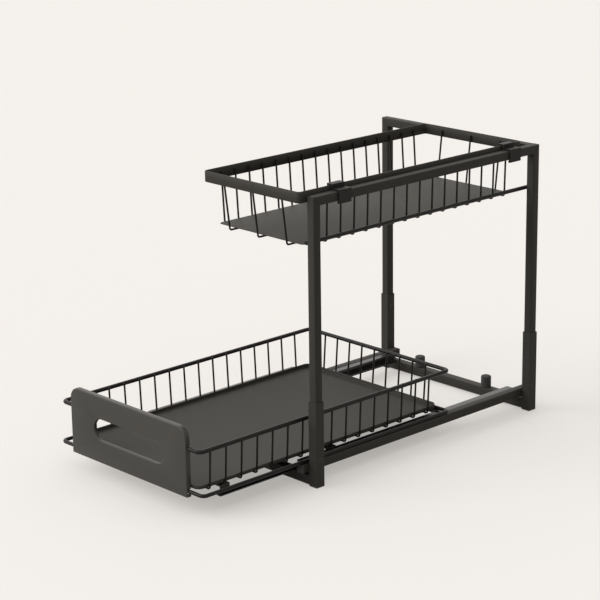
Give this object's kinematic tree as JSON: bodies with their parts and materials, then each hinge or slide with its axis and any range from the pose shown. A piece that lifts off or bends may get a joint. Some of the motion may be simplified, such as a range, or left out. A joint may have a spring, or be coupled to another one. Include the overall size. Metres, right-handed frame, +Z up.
{
  "type": "pull out cabinet basket",
  "caption": "Two-tier pull-out cabinet organiser: open tube frame, wire drawer with a slotted front panel on ball slides, and a wire basket that hangs on the side rail.",
  "frame": {"origin": "bottom centre of the whole part's box at rest, with the drawer partly out; the feet stand on Z = 0", "axes": "+X to the right of someone facing the front panel, -Y the way the drawer pulls out, +Z up"},
  "size_m": [0.2714, 0.541, 0.3473],
  "materials": {
    "powder_black": "matte powder coat",
    "black_plastic": "matte",
    "black_rubber": "matte",
    "clip_black": "satin",
    "slide_steel": "black zinc, satin",
    "ball_steel": "polished",
    "screw_black": "black oxide"
  },
  "bodies": {
    "frame": {"basket_bearing_rod": "powder_black", "bumper_left": "black_rubber", "bumper_right": "black_rubber", "foot_plug_front_left": "black_plastic", "foot_plug_front_right": "black_plastic", "foot_plug_rear_left": "black_plastic", "foot_plug_rear_right": "black_plastic", "front_cross_bar": "powder_black", "front_left_foot": "powder_black", "front_right_post": "powder_black", "rail_cap_front_left": "black_plastic", "rail_cap_front_right": "black_plastic", "rail_cap_rear_left": "black_plastic", "rail_cap_rear_right": "black_plastic", "rear_cross_bar": "powder_black", "rear_left_post": "powder_black", "rear_right_post": "powder_black", "rear_top_bar": "powder_black", "right_top_rail": "powder_black", "side_rail_left": "powder_black", "side_rail_right": "powder_black", "sleeve_front_right": "powder_black", "sleeve_rear_left": "powder_black", "sleeve_rear_right": "powder_black", "sleeve_screws": "screw_black", "slide_outer_left": "slide_steel", "slide_outer_right": "slide_steel", "slide_screws": "screw_black"},
    "ball_cages": {"ball_cage_left": "slide_steel", "ball_cage_right": "slide_steel", "balls_left": "ball_steel", "balls_right": "ball_steel"},
    "drawer": {"drawer_bottom_ring": "powder_black", "drawer_cross_wires": "powder_black", "drawer_front_panel": "powder_black", "drawer_long_wires": "powder_black", "drawer_side_bar": "powder_black", "drawer_strap_front": "powder_black", "drawer_strap_middle": "powder_black", "drawer_strap_rear": "powder_black", "drawer_top_ring": "powder_black", "drawer_tray": "powder_black", "slide_inner_left": "slide_steel", "slide_inner_right": "slide_steel", "strap_rivets": "screw_black"},
    "basket": {"basket_cross_wires": "powder_black", "basket_long_wires": "powder_black", "basket_plate": "powder_black", "basket_rim": "powder_black", "saddle_clip_front": "clip_black", "saddle_clip_rear": "clip_black"}
  },
  "joints": [
    {"name": "drawer_slide", "type": "slide", "parent": "frame", "child": "drawer", "axis": [0, -1, 0], "range_m": [-0.122, 0.129]},
    {"name": "cage_roll", "type": "slide", "parent": "frame", "child": "ball_cages", "axis": [0, -1, 0], "range_m": [-0.0612, 0.0647]},
    {"name": "basket_shift", "type": "slide", "parent": "frame", "child": "basket", "axis": [0, -1, 0], "range_m": [-0.0075, 0.025]}
  ],
  "couplings": [
    {"joint": "cage_roll", "follows": "drawer_slide", "ratio": 0.5}
  ]
}
